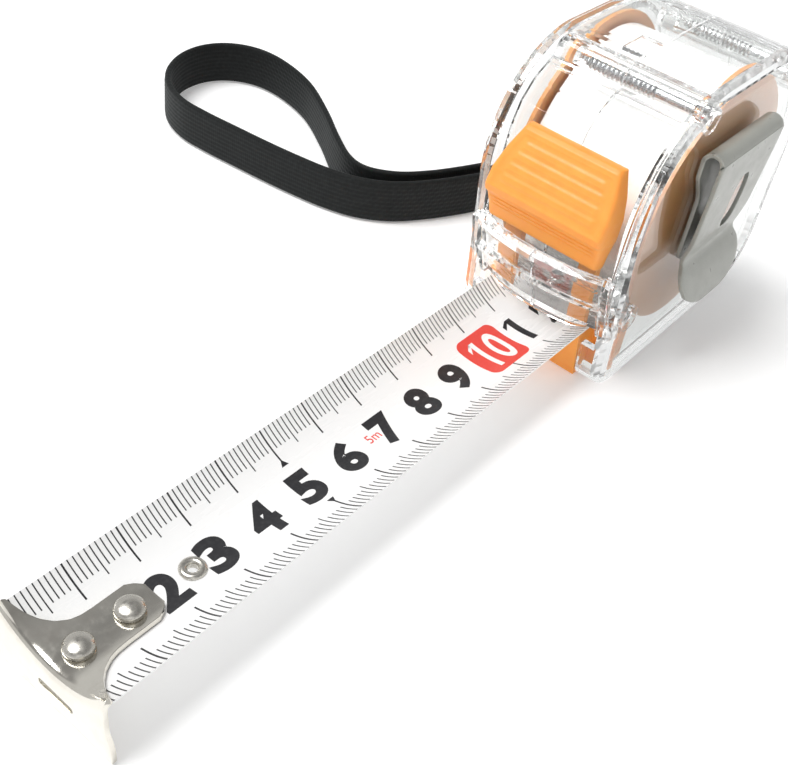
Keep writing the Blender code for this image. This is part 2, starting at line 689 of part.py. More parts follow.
def main():
    for obj in list(bpy.data.objects):
        bpy.data.objects.remove(obj, do_unlink=True)

    clear = material("clear_plastic", (0.93, 0.95, 0.96), 0.06, alpha=0.35)
    orange = material("orange_plastic", (1.0, 0.40, 0.06), 0.4)
    tan = material("tan_plastic", (0.80, 0.47, 0.22), 0.4)
    white = material("white_paint", (0.93, 0.93, 0.92), 0.3)
    nickel = material("nickel", (0.75, 0.73, 0.70), 0.15, 1.0)
    zinc = material("zinc", (0.62, 0.62, 0.62), 0.3, 1.0)
    grey = material("grey_paint", (0.50, 0.50, 0.47), 0.4)
    spring_steel = material("spring_steel", (0.35, 0.36, 0.40), 0.3, 1.0)
    webbing = material("black_webbing", (0.02, 0.02, 0.022), 0.85)

    left = case_half("case_left", 1, clear)
    right = case_half("case_right", -1, clear)
    tongues(left, right)
    strap_lugs(left)
    clip_hole(right)
    for place, (x, z, _) in CASE_SCREWS.items():
        case_screw(f"case_screw_{place}", x, z, screw_seat(place), zinc)
    mouth_insert(orange)

    thumb_lock(orange)
    lock_slider(orange)

    spindle(clear)
    reel(tan, white)
    power_spring(spring_steel)

    blade_strip(white)
    blade_eyelet(nickel)
    end_hook(nickel)
    for number, x in enumerate(RIVET_XS, 1):
        hook_rivet(f"hook_rivet_{number}", x, nickel)

    clip_base(grey)
    clip_leaf(grey)
    clip_screw(zinc)

    wrist_strap(webbing)
    strap_pin(zinc)


main()
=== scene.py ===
"""The looks of a clear-cased pocket tape measure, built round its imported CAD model.

Sizes and places are in millimetres, in the model's own frame: +Z up, the blade runs out along -X, the belt
clip is on the -Y side, and the origin is in the middle of the case's base.
"""

import math

import bmesh
import bpy
from mathutils import Matrix, Vector


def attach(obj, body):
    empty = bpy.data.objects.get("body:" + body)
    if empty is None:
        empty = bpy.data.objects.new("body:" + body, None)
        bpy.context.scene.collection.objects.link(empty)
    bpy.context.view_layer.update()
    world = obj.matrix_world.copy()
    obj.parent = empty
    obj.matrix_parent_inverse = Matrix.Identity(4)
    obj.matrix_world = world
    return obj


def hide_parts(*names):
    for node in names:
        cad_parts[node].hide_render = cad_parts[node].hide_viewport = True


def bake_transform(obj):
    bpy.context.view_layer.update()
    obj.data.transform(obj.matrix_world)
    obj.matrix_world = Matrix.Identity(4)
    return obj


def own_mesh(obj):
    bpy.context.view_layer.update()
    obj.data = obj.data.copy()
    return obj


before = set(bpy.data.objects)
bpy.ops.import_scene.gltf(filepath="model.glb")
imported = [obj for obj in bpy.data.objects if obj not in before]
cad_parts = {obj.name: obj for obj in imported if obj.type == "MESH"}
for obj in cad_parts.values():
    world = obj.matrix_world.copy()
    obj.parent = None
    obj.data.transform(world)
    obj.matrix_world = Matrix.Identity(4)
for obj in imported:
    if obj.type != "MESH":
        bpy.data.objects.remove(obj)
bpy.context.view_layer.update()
MM = 0.001

# ---------------------------------------------------------------- sizes that follow the CAD model

REEL_Z = 32.0
BLADE_Z, BLADE_CURVE_R, BLADE_THICK, BLADE_HALF = 8.0, 17.5, 0.2, 12.5
BLADE_END = -144.0
TIP_END = BLADE_END + 13.0  # the stretch that still shows when the blade is wound in
# From here the blade stays inside the case and flattens towards the reel: it is also as far as the squashed
# stretch behind the tip reaches when the blade is wound in.
INNER_START, INNER_END = -16.2, 1.0
RIVET_XS = (BLADE_END + 4.0, BLADE_END + 13.0)
EYELET_X = BLADE_END + 25.0
SCREW_TIP = 10.2
THREAD_START = -6.0  # the screw's shank is smooth from its head to here
# Each screw's x and z, and how far its seat is from the centre plane
CASE_SCREWS = {"front_top": (-15.5, 56.0, 14.9), "front_mouth": (-23.3, 15.7, 14.9), "rear_top": (24.3, 51.0, 12.6),
               "rear_foot": (26.0, 6.8, 12.6)}
WALL_FOOT, WALL_HEAD = Vector((-31.7, 24.0)), Vector((-28.25, 45.0))
SLIDE = (WALL_HEAD - WALL_FOOT).normalized()
CLIP_X, CLIP_SHEET, CLIP_HALF = -1.0, 0.8, 12.2
CLIP_BEND_Y, CLIP_BEND_Z, CLIP_BEND_R = -19.0, 46.6, 1.9
PIN_X, PIN_Y, PIN_R = 39.5, 5.0, 1.3
STRAP_WIDTH, STRAP_THICK = 10.5, 1.6


# ---------------------------------------------------------------- camera, lights and floor

CAMERA_PLACE = (-193.8, -80.5, 147.5)
CAMERA_HEADING, CAMERA_DOWN, CAMERA_ROLL = 56.14, 41.76, 9.56  # degrees; heading is from +Y towards +X
CAMERA_LENS = 52.46
LIGHT_AIM = (-0.05, 0.0, 0.02)
# Each light's place and size in metres, and its power in watts. The key stays clear of the hook plate's reflection.
LIGHTS = {"key": ((-0.38, 0.36, 1.12), 0.62, 11.8), "fill": ((-0.7, -0.7, 0.8), 0.7, 0.8)}
DOME_STOPS = [(0.0, 0.95), (0.52, 1.0), (0.64, 0.5), (0.85, 0.42), (1.0, 0.6)]  # height share, brightness
DOME_STRENGTH = 0.66
FLOOR_HALF = 4.0
LIGHT_BOUNCES, CLEAR_BOUNCES = 32, 24  # fewer turn the clear case black where light is trapped in it


def make_camera():
    data = bpy.data.cameras.new("camera")
    data.lens = CAMERA_LENS
    data.sensor_width = 36.0
    data.clip_start = 0.005
    camera = bpy.data.objects.new("camera", data)
    turn = Matrix.Rotation(math.radians(-CAMERA_HEADING), 4, "Z")
    tilt = Matrix.Rotation(math.radians(90 - CAMERA_DOWN), 4, "X")
    roll = Matrix.Rotation(math.radians(CAMERA_ROLL), 4, "Z")
    camera.matrix_world = Matrix.Translation(Vector(CAMERA_PLACE) * MM) @ turn @ tilt @ roll
    bpy.context.scene.collection.objects.link(camera)
    bpy.context.scene.camera = camera


def area_light(name, place, size, power):
    data = bpy.data.lights.new(name, "AREA")
    data.shape = "DISK"
    data.size = size
    data.energy = power
    light = bpy.data.objects.new(name, data)
    light.location = place
    light.rotation_euler = (Vector(LIGHT_AIM) - Vector(place)).to_track_quat("-Z", "Y").to_euler()
    bpy.context.scene.collection.objects.link(light)


def make_world():
    """A studio dome: white round the horizon, and a darker ceiling."""
    world = bpy.data.worlds.new("studio")
    world.use_nodes = True
    tree = world.node_tree
    place = tree.nodes.new("ShaderNodeTexCoord")
    split = tree.nodes.new("ShaderNodeSeparateXYZ")
    ramp = tree.nodes.new("ShaderNodeValToRGB")
    tree.links.new(place.outputs["Generated"], split.inputs[0])
    tree.links.new(split.outputs["Z"], ramp.inputs[0])
    elements = ramp.color_ramp.elements
    elements[0].position, elements[1].position = DOME_STOPS[0][0], DOME_STOPS[-1][0]
    for position, _ in DOME_STOPS[1:-1]:
        elements.new(position)
    for element, (_, level) in zip(elements, DOME_STOPS):
        element.color = (level, level, level, 1.0)
    tree.links.new(ramp.outputs[0], tree.nodes["Background"].inputs["Color"])
    tree.nodes["Background"].inputs["Strength"].default_value = DOME_STRENGTH
    bpy.context.scene.world = world


def make_stage():
    make_camera()
    make_world()
    for name, (place, size, power) in LIGHTS.items():
        area_light(name, place, size, power)
    bm = bmesh.new()
    bmesh.ops.create_grid(bm, x_segments=1, y_segments=1, size=FLOOR_HALF)
    mesh = bpy.data.meshes.new("floor")
    bm.to_mesh(mesh)
    bm.free()
    floor = bpy.data.objects.new("floor", mesh)
    bpy.context.scene.collection.objects.link(floor)
    paper = Look("white_paper", (0.93, 0.93, 0.93), 0.7, Emission_Strength=0.2)
    paper.shader.inputs["Emission Color"].default_value = (1.0, 1.0, 1.0, 1.0)
    mesh.materials.append(paper.mat)
    scene = bpy.context.scene
    scene.view_settings.view_transform = "Standard"
    scene.cycles.max_bounces = LIGHT_BOUNCES
    scene.cycles.glossy_bounces = LIGHT_BOUNCES
    scene.cycles.transmission_bounces = LIGHT_BOUNCES
    scene.cycles.transparent_max_bounces = CLEAR_BOUNCES


# ---------------------------------------------------------------- materials


class Look:
    """A Principled material, with short ways to add procedural detail to it."""

    def __init__(self, name, colour, roughness, metallic=0.0, **sockets):
        self.mat = bpy.data.materials.new(name)
        self.mat.use_nodes = True
        self.tree = self.mat.node_tree
        self.shader = self.tree.nodes["Principled BSDF"]
        self.colour = colour
        self.shader.inputs["Base Color"].default_value = (*colour, 1.0)
        self.shader.inputs["Roughness"].default_value = roughness
        self.shader.inputs["Metallic"].default_value = metallic
        for socket, value in sockets.items():
            self.shader.inputs[socket.replace("_", " ")].default_value = value

    def node(self, kind, **inputs):
        made = self.tree.nodes.new("ShaderNode" + kind)
        for name, value in inputs.items():
            self.join(value, made.inputs[name.replace("_", " ")])
        return made

    def join(self, value, socket):
        if isinstance(value, bpy.types.NodeSocket):
            self.tree.links.new(value, socket)
        else:
            socket.default_value = value

    def place(self, stretch=(1.0, 1.0, 1.0), uv=False):
        """Coordinates in millimetres on the object, or along its UV map, stretched per axis."""
        source = self.node("TexCoord").outputs["UV" if uv else "Object"]
        scale = [s if uv else s / MM for s in stretch]
        return self.node("Mapping", Vector=source, Scale=scale).outputs[0]

    def noise(self, scale, detail=3.0, stretch=(1.0, 1.0, 1.0)):
        """Smooth noise from 0 to 1, with scale features per millimetre."""
        return self.node("TexNoise", Vector=self.place(stretch), Scale=scale, Detail=detail).outputs["Fac"]

    def remap(self, value, low, high, start=0.0, end=1.0):
        """The value's range low to high, carried over to start to end."""
        made = self.node("MapRange", Value=value)
        for name, number in (("From Min", low), ("From Max", high), ("To Min", start), ("To Max", end)):
            made.inputs[name].default_value = number
        return made.outputs[0]

    def tint(self, share, other):
        """Mixes another colour into the base colour by a share socket."""
        mix = self.node("Mix")
        mix.data_type = "RGBA"
        self.join(share, mix.inputs["Factor"])
        before = self.shader.inputs["Base Color"]
        if before.is_linked:
            self.join(before.links[0].from_socket, mix.inputs[6])
        else:
            mix.inputs[6].default_value = (*self.colour, 1.0)
        mix.inputs[7].default_value = (*other, 1.0)
        self.tree.links.new(mix.outputs[2], before)
        return self

    def rough(self, value):
        self.join(value, self.shader.inputs["Roughness"])
        return self

    def bump(self, height, depth, strength=1.0):
        """A bump of that depth in millimetres, added to any bump before it."""
        made = self.node("Bump", Height=height, Strength=strength, Distance=depth * MM)
        before = self.shader.inputs["Normal"]
        if before.is_linked:
            self.join(before.links[0].from_socket, made.inputs["Normal"])
        self.tree.links.new(made.outputs[0], before)
        return self


def clear_plastic():
    """Moulded clear plastic: bends light, mirrors it at its edges, and lets the lamps through."""
    look = Look("clear_plastic", (0.94, 0.95, 0.945), 0.03, IOR=1.49, Transmission_Weight=1.0)
    look.bump(look.noise(0.12, 2.0), 0.05, 0.35)
    look.bump(look.noise(2.0, 4.0, (1.0, 0.2, 1.0)), 0.002, 0.3)
    ray = look.node("LightPath")
    open_way = look.node("BsdfTransparent", Color=(0.975, 0.975, 0.975, 1.0))
    mix = look.node("MixShader")
    look.join(ray.outputs["Is Shadow Ray"], mix.inputs[0])
    look.join(look.shader.outputs[0], mix.inputs[1])
    look.join(open_way.outputs[0], mix.inputs[2])
    look.join(mix.outputs[0], look.tree.nodes["Material Output"].inputs["Surface"])
    return look.mat


def orange_plastic():
    look = Look("orange_plastic", (1.0, 0.36, 0.06), 0.4, Subsurface_Weight=0.25, Subsurface_Scale=0.002)
    look.shader.inputs["Subsurface Radius"].default_value = (1.0, 0.45, 0.15)
    look.tint(look.remap(look.noise(0.35), 0.35, 0.7, 0.0, 0.35), (1.0, 0.43, 0.08))
    look.rough(look.remap(look.noise(1.2), 0.3, 0.7, 0.36, 0.5))
    look.bump(look.noise(5.0, 2.0), 0.006, 0.4)
    return look.mat


def tan_plastic():
    look = Look("tan_plastic", (0.62, 0.27, 0.075), 0.36, Subsurface_Weight=0.2, Subsurface_Scale=0.002)
    look.tint(look.remap(look.noise(0.08), 0.35, 0.7, 0.0, 0.5), (0.8, 0.42, 0.17))
    look.bump(look.noise(3.0, 3.0), 0.01, 0.4)
    return look.mat


def white_enamel():
    look = Look("white_enamel", (0.93, 0.93, 0.925), 0.24, Coat_Weight=0.3, Coat_Roughness=0.12)
    look.tint(look.remap(look.noise(0.05), 0.4, 0.75, 0.0, 0.25), (0.9, 0.9, 0.885))
    look.rough(look.remap(look.noise(0.8, 5.0, (0.15, 1.0, 1.0)), 0.3, 0.7, 0.2, 0.32))
    look.bump(look.noise(1.5, 3.0, (0.1, 1.0, 1.0)), 0.004, 0.35)
    return look.mat


def ink(name, colour):
    look = Look(name, colour, 0.36)
    lighter = tuple(c + 0.03 for c in colour)
    look.tint(look.remap(look.noise(1.5, 4.0), 0.45, 0.8, 0.0, 0.6), lighter)
    look.bump(look.noise(6.0, 2.0), 0.003, 0.4)
    return look.mat


def nickel():
    look = Look("nickel_plate", (0.76, 0.735, 0.67), 0.12, 1.0)
    look.tint(look.remap(look.noise(0.3, 5.0), 0.45, 0.75, 0.0, 0.5), (0.62, 0.58, 0.52))
    look.rough(look.remap(look.noise(0.9, 6.0), 0.35, 0.75, 0.07, 0.24))
    look.bump(look.noise(1.0, 2.0), 0.01, 0.25)
    look.bump(look.noise(4.0, 5.0, (0.15, 1.0, 1.0)), 0.003, 0.35)
    return look.mat


def rivet_steel():
    look = Look("rivet_steel", (0.62, 0.6, 0.55), 0.26, 1.0)
    look.tint(look.remap(look.noise(0.8, 5.0), 0.4, 0.75, 0.0, 0.5), (0.48, 0.46, 0.42))
    look.rough(look.remap(look.noise(1.6, 5.0), 0.3, 0.7, 0.2, 0.36))
    look.bump(look.noise(3.0, 4.0), 0.006, 0.4)
    return look.mat


def zinc():
    look = Look("zinc_plate", (0.52, 0.52, 0.53), 0.22, 1.0)
    look.rough(look.remap(look.noise(1.5, 5.0), 0.3, 0.7, 0.14, 0.34))
    look.tint(look.remap(look.noise(0.8, 4.0), 0.5, 0.8, 0.0, 0.6), (0.34, 0.34, 0.35))
    return look.mat


def spring_steel():
    look = Look("spring_steel", (0.32, 0.34, 0.40), 0.28, 1.0)
    look.rough(look.remap(look.noise(1.0, 5.0, (1.0, 4.0, 1.0)), 0.3, 0.7, 0.2, 0.4))
    return look.mat


def clip_paint():
    look = Look("clip_paint", (0.33, 0.335, 0.305), 0.33, 0.3, Coat_Weight=0.25, Coat_Roughness=0.15)
    look.tint(look.remap(look.noise(7.0, 1.0), 0.5, 0.75, 0.0, 0.5), (0.42, 0.42, 0.39))
    look.rough(look.remap(look.noise(0.5, 5.0), 0.3, 0.7, 0.27, 0.42))
    look.bump(look.noise(0.8, 2.0), 0.012, 0.3)
    look.bump(look.noise(6.0, 2.0), 0.006, 0.4)
    return look.mat


def webbing():
    """Black woven tape: UV x runs along it in millimetres, and UV y across it."""
    look = Look("webbing", (0.005, 0.006, 0.006), 0.7, Specular_IOR_Level=0.25, Sheen_Weight=0.1, Sheen_Roughness=0.5)
    look.shader.inputs["Sheen Tint"].default_value = (0.5, 0.55, 0.55, 1.0)
    picks = look.node("TexWave", Vector=look.place((1.0, 1.0, 1.0), uv=True), Scale=0.42)
    picks.bands_direction = "DIAGONAL"
    across = look.node("TexWave", Vector=look.place((1.0, 1.0, 1.0), uv=True), Scale=0.55)
    across.bands_direction = "X"
    look.bump(picks.outputs["Fac"], 0.05, 0.6)
    look.bump(across.outputs["Fac"], 0.04, 0.5)
    look.tint(look.remap(look.noise(1.1, 5.0), 0.4, 0.8, 0.0, 0.8), (0.012, 0.014, 0.014))
    return look.mat


# ---------------------------------------------------------------- mesh helpers


def piece(name, bm, look, body, replaces=(), sharp=34.0):
    """Turn a bmesh in millimetres into a piece of the object that rides on a body."""
    bmesh.ops.remove_doubles(bm, verts=bm.verts, dist=1e-5)
    bmesh.ops.recalc_face_normals(bm, faces=bm.faces)
    bmesh.ops.scale(bm, vec=(MM, MM, MM), verts=bm.verts)
    mesh = bpy.data.meshes.new(name)
    bm.to_mesh(mesh)
    bm.free()
    mesh.materials.append(look)
    mesh.shade_smooth()
    mesh.set_sharp_from_angle(angle=math.radians(sharp))
    obj = bpy.data.objects.new(name, mesh)
    bpy.context.scene.collection.objects.link(obj)
    if body:
        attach(obj, body)
    if replaces:
        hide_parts(*replaces)
    return obj


def grid(rows, closed=False):
    """A sheet of quads through rows of points; closed joins each row's ends and caps the first and last row."""
    bm = bmesh.new()
    made = [[bm.verts.new(p) for p in row] for row in rows]
    count = len(made[0])
    for one, two in zip(made, made[1:]):
        for i in range(count if closed else count - 1):
            j = (i + 1) % count
            bm.faces.new((one[i], one[j], two[j], two[i]))
    if closed:
        bm.faces.new(made[0])
        bm.faces.new(made[-1])
    return bm


def turned(x, profile, count):
    """Circles of that many points round the upright axis at x, one for each (radius, height)."""
    angles = [2 * math.pi * k / count for k in range(count)]
    return [[(x + r * math.cos(a), r * math.sin(a), z) for a in angles] for r, z in profile]


def smoothstep(x, low, high):
    """Rises smoothly from 0 at low to 1 at high."""
    t = min(max((x - low) / (high - low), 0.0), 1.0)
    return t * t * (3 - 2 * t)


def between(x, points):
    """Straight-line value at x in a list of (x, value) with rising x."""
    for (a, one), (b, two) in zip(points, points[1:]):
        if x <= b:
            return one + (two - one) * max(x - a, 0.0) / (b - a)
    return points[-1][1]


def add_modifier(obj, kind, **settings):
    made = obj.modifiers.new(kind.lower(), kind)
    for name, value in settings.items():
        setattr(made, name, value)
    return made


def apply_modifiers(obj):
    graph = bpy.context.evaluated_depsgraph_get()
    mesh = bpy.data.meshes.new_from_object(obj.evaluated_get(graph))
    obj.modifiers.clear()
    obj.data = mesh


def cut_away(obj, bm):
    """Cut a bmesh in millimetres out of an object."""
    bmesh.ops.recalc_face_normals(bm, faces=bm.faces)
    bmesh.ops.scale(bm, vec=(MM, MM, MM), verts=bm.verts)
    mesh = bpy.data.meshes.new("tool")
    bm.to_mesh(mesh)
    bm.free()
    tool = bpy.data.objects.new("tool", mesh)
    bpy.context.scene.collection.objects.link(tool)
    add_modifier(obj, "BOOLEAN", operation="DIFFERENCE", object=tool)
    apply_modifiers(obj)
    bpy.data.objects.remove(tool)


# ---------------------------------------------------------------- wrist strap

PIN_CLEARANCE = 0.45

def round_pin(first, last, steps):
    """Points of the strap's middle line round its pin, from one angle to another, in degrees."""
    radius = PIN_R + STRAP_THICK / 2 + PIN_CLEARANCE
    angles = [math.radians(first + (last - first) * k / steps) for k in range(steps + 1)]
    return [(PIN_X + radius * math.cos(a), PIN_Y + radius * math.sin(a)) for a in angles]


# The strap's middle line on the ground, from the back of its pin, round the loop and back to the pin
STRAP_ROUTE = [
    *round_pin(-86, -190, 5), (37.3, 11.0), (35.9, 17.6),
    (31.6, 23.2), (24.6, 27.9), (16.0, 31.9), (7.0, 35.6), (-1.0, 38.9), (-8.6, 42.6), (-15.8, 47.4),
    (-20.8, 53.6),
    (-23.6, 61.0), (-25.2, 69.0), (-26.4, 77.5), (-27.3, 86.0), (-28.2, 95.0), (-28.2, 103.0), (-25.6, 110.6),
    (-20.3, 116.4), (-13.0, 119.8), (-5.6, 119.8), (0.5, 116.4), (4.2, 110.0), (4.6, 101.5), (1.8, 90.5),
    (-4.6, 79.0), (-11.2, 69.2), (-15.6, 61.4), (-16.0, 55.6), (-12.2, 49.8), (-6.0, 45.4), (1.2, 41.9),
    (8.6, 38.8), (17.2, 35.0), (25.8, 31.0), (33.6, 25.6), (38.8, 18.6), (41.3, 11.5), *round_pin(10, -60, 4),
]
STRAP_FOOT = 0.3
LUG_TOP, RISE_START, RISE_END = 2.9, 16.0, 35.0  # between these x the strap rises, to pass over the lower lug
STRAP_STEPS = 8
STRAP_RIBS = 9
RIB_DEPTH = 0.07


def smooth_line(points, steps):
    """A smooth curve through the given points, with that many steps from each to the next."""
    line = []
    for i in range(len(points) - 1):
        p = [Vector(points[min(max(j, 0), len(points) - 1)]) for j in (i - 1, i, i + 1, i + 2)]
        for k in range(steps):
            t = k / steps
            line.append(0.5 * (2 * p[1] + (p[2] - p[0]) * t + (2 * p[0] - 5 * p[1] + 4 * p[2] - p[3]) * t * t
                               + (3 * p[1] - p[0] - 3 * p[2] + p[3]) * t * t * t))
    return line + [Vector(points[-1])]


def strap_outline():
    """The webbing's cross-section as (across, up from its foot), ribbed along its length."""
    steps = 72
    side = []
    for k in range(steps + 1):
        t = 2 * k / steps - 1
        rib = RIB_DEPTH * (1 - math.cos(math.pi * (STRAP_RIBS + 1) * (t + 1))) / 2
        half = (STRAP_THICK / 2 - RIB_DEPTH + rib) * (1 - abs(t) ** 12) ** 0.5
        side.append((half, STRAP_WIDTH * (t + 1) / 2))
    return side + [(-a, b) for a, b in side[-2:0:-1]]


def wrist_strap(look):
    """The ribbed outline carried along the route, standing on its edge and mapped for the weave."""
    line = smooth_line(STRAP_ROUTE, STRAP_STEPS)
    outline = strap_outline()
    rows, path, run = [], [], [0.0]
    for i, here in enumerate(line):
        along = (line[min(i + 1, len(line) - 1)] - line[max(i - 1, 0)]).normalized()
        across = Vector((-along.y, along.x))
        foot = STRAP_FOOT + LUG_TOP * smoothstep(here.x, RISE_START, RISE_END)
        rows.append([(here.x + across.x * a, here.y + across.y * a, foot + b) for a, b in outline])
        path.append((here.x * MM, here.y * MM, (foot + STRAP_WIDTH / 2) * MM))
        if i:
            run.append(run[-1] + (here - line[i - 1]).length)
    bm = grid(rows, closed=True)
    uv = bm.loops.layers.uv.new("weave")
    bm.verts.ensure_lookup_table()
    bm.verts.index_update()
    for face in bm.faces:
        for loop in face.loops:
            row, column = divmod(loop.vert.index, len(outline))
            loop[uv].uv = (run[row], outline[column][1])
    strap = piece("webbing_strap", bm, look, "case", ["wrist_strap"], 60.0)


# ---------------------------------------------------------------- blade

EYELET_HOLE_R = 1.0
FLATTEST = 0.02  # the share of the blade's curve that is left where it meets the reel


def wrapped(x, across, height, curve_r=BLADE_CURVE_R):
    """A point on the blade: along it, across it, and above its middle surface."""
    angle = across / curve_r
    radius = curve_r - height
    return (x, radius * math.sin(angle), BLADE_Z + curve_r - radius * math.cos(angle))


def strip_rows(stations):
    """Closed cross-sections of the strip at (x, radius of its curve)."""
    count = 40
    rows = []
    for x, curve_r in stations:
        across = [BLADE_HALF * (2 * k / count - 1) for k in range(count + 1)]
        top = [wrapped(x, s, BLADE_THICK / 2, curve_r) for s in across]
        bottom = [wrapped(x, s, -BLADE_THICK / 2, curve_r) for s in across]
        rows.append(top + bottom[::-1])
    return rows


def blade(look):
    """The blade in three stretches: the tip, the one that winds in, and the one that stays in the case."""
    def stations(start, end, step=2.0):
        count = round((end - start) / step)
        return [(start + (end - start) * k / count, BLADE_CURVE_R) for k in range(count + 1)]

    piece("blade_tip", grid(strip_rows(stations(BLADE_END, TIP_END)), True), look, "blade")
    strip = piece("blade_outside", grid(strip_rows(stations(TIP_END, INNER_START)), True), look, "blade",
                  ["blade_strip"])
    hole = [(EYELET_HOLE_R, BLADE_Z - 2.0), (EYELET_HOLE_R, BLADE_Z + 2.0)]
    cut_away(strip, grid(turned(EYELET_X, hole, 24), True))
    pull_in(strip)
    inner = []
    for k in range(20):
        x = INNER_START + (INNER_END - INNER_START) * k / 19
        inner.append((x, BLADE_CURVE_R / max(1.0 - smoothstep(x, INNER_START, INNER_END), FLATTEST)))
    piece("blade_inside", grid(strip_rows(inner), True), look, "case")


def pull_in(obj):
    """Gives the piece a mesh of its own. The blade goes onto the reel, so what lies along it shortens towards the tip
    as it slides in; nothing here shortens it.
    """
    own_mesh(obj)


# ---------------------------------------------------------------- print on the blade

INK_BELOW, INK_ABOVE = 0.02, 0.03  # a printed mark reaches this far into and out of the enamel
CM_MARK, HALF_MARK, MM_MARK = 6.0, 7.2, 8.4  # from the blade's middle to the inner end of a mark
MARK_EDGE = 12.45
CM_HALF_WIDTH, MARK_HALF_WIDTH = 0.15, 0.1
NUMERAL_HEIGHT, NUMERAL_WIDTH, NUMERAL_MIDDLE, NUMERAL_BOLD = 7.3, 5.4, -0.45, 0.05
NUMERAL_SHIFT = -0.4  # a numeral's middle from its centimetre mark
TEN_HEIGHT, TEN_MIDDLE = 8.2, -0.55
FIRST_MARK, LAST_MARK = 1, 125
SLICE = 0.8  # a mark's faces are cut this fine across the blade, so that they follow its curve


def flat_face(bm, points):
    """A flat mark with its corners at (along the blade, across it)."""
    bm.faces.new([bm.verts.new((x, y, 0.0)) for x, y in points])


def rectangle(bm, x, half_width, low, high):
    flat_face(bm, [(x - half_width, low), (x + half_width, low), (x + half_width, high), (x - half_width, high)])


def tick(bm, number):
    """One millimetre mark at each edge of the blade."""
    x = BLADE_END + number
    if number % 10 == 0:
        inner, half_width = CM_MARK, CM_HALF_WIDTH
    elif number % 5 == 0:
        inner, half_width = HALF_MARK, MARK_HALF_WIDTH
    else:
        inner, half_width = MM_MARK, MARK_HALF_WIDTH
    rectangle(bm, x, half_width, inner, MARK_EDGE)
    rectangle(bm, x, half_width, -MARK_EDGE, -inner)


def lettering(bm, text, x, y, width, height, bold, turn=1):
    """Filled characters in a box of that width and height with its middle at x, y; turn -1 is upside down."""
    curve = bpy.data.curves.new("lettering", "FONT")
    curve.body = text
    curve.offset = bold
    curve.resolution_u = 8
    obj = bpy.data.objects.new("lettering", curve)
    bpy.context.scene.collection.objects.link(obj)
    graph = bpy.context.evaluated_depsgraph_get()
    mesh = bpy.data.meshes.new_from_object(obj.evaluated_get(graph))
    bpy.data.objects.remove(obj)
    xs = [v.co.x for v in mesh.vertices]
    ys = [v.co.y for v in mesh.vertices]
    for vertex in mesh.vertices:
        vertex.co.x = x + turn * width * ((vertex.co.x - min(xs)) / (max(xs) - min(xs)) - 0.5)
        vertex.co.y = y + turn * height * ((vertex.co.y - min(ys)) / (max(ys) - min(ys)) - 0.5)
        vertex.co.z = 0.0
    bm.from_mesh(mesh)
    bpy.data.meshes.remove(mesh)


def numeral_one(bm, x, y, width, height, stem):
    """A 1 with a sloping flag: its stem is at the right of the box."""
    right, left, top, foot = x + width / 2, x - width / 2, y + height / 2, y - height / 2
    flat_face(bm, [(right - stem, foot), (right, foot), (right, top), (right - stem, top)])
    flat_face(bm, [(left, top - 0.28 * height), (right - stem, top - 0.1 * height), (right - stem, top),
                   (left, top - 0.13 * height)])


def printed(name, bm, look, squashes=True, lift=0.0):
    """Wrap flat marks round the blade as thin solid ink, and let them ride on it."""
    bmesh.ops.remove_doubles(bm, verts=bm.verts, dist=1e-4)
    bmesh.ops.triangulate(bm, faces=bm.faces)
    cuts = int(BLADE_HALF / SLICE)
    for k in range(-cuts, cuts + 1):
        everything = list(bm.verts) + list(bm.edges) + list(bm.faces)
        bmesh.ops.bisect_plane(bm, geom=everything, plane_co=(0, (k + 0.37) * SLICE, 0), plane_no=(0, 1, 0))
    for vertex in bm.verts:
        vertex.co.z = lift - INK_BELOW
    top = bmesh.ops.extrude_face_region(bm, geom=list(bm.faces))
    for item in top["geom"]:
        if isinstance(item, bmesh.types.BMVert):
            item.co.z = lift + INK_ABOVE
    for vertex in bm.verts:
        x, across, height = vertex.co
        vertex.co = wrapped(x, across, BLADE_THICK / 2 + height)
    obj = piece(name, bm, look, "blade")
    if squashes:
        pull_in(obj)


def blade_print(black, red, white):
    """The scale, its numerals, the two marks at 5 cm, the blade's length, and the white 10 in its red box."""
    tip = bmesh.new()
    marks = bmesh.new()
    for number in range(FIRST_MARK, LAST_MARK + 1):
        tick(tip if BLADE_END + number < TIP_END else marks, number)
    for number in range(2, 10):
        # A 6 is a 9 turned round: the font's own 6 crosses itself when it is made bold.
        text, turn = ("9", -1) if number == 6 else (str(number), 1)
        lettering(marks, text, BLADE_END + 10 * number + NUMERAL_SHIFT, NUMERAL_MIDDLE, NUMERAL_WIDTH,
                  NUMERAL_HEIGHT, NUMERAL_BOLD, turn)
    # Past the red 10 the numbers start again at 1.
    numeral_one(marks, BLADE_END + 109.6, NUMERAL_MIDDLE, 3.2, NUMERAL_HEIGHT, 1.55)
    lettering(marks, "2", BLADE_END + 119.6, NUMERAL_MIDDLE, NUMERAL_WIDTH, NUMERAL_HEIGHT, NUMERAL_BOLD)
    x = BLADE_END + 50  # a small triangle above the numeral here and one below it
    flat_face(marks, [(x - 0.75, 5.1), (x + 0.75, 5.1), (x, 6.4)])
    flat_face(marks, [(x + 0.75, -5.1), (x - 0.75, -5.1), (x, -6.4)])
    printed("print_black_tip", tip, black, squashes=False)
    printed("print_black", marks, black)

    box_bm = bmesh.new()
    flat_face(box_bm, rounded_box(BLADE_END + 100.9, -0.5, 5.6, 5.55, 1.8))
    lettering(box_bm, "5m", BLADE_END + 66.4, -0.1, 3.0, 1.9, 0.0)
    printed("print_red", box_bm, red)
    tens = bmesh.new()
    numeral_one(tens, BLADE_END + 98.2, TEN_MIDDLE, 2.3, TEN_HEIGHT, 1.1)
    lettering(tens, "0", BLADE_END + 103.0, TEN_MIDDLE, 3.9, TEN_HEIGHT, 0.02)
    printed("print_white", tens, white, lift=INK_ABOVE)


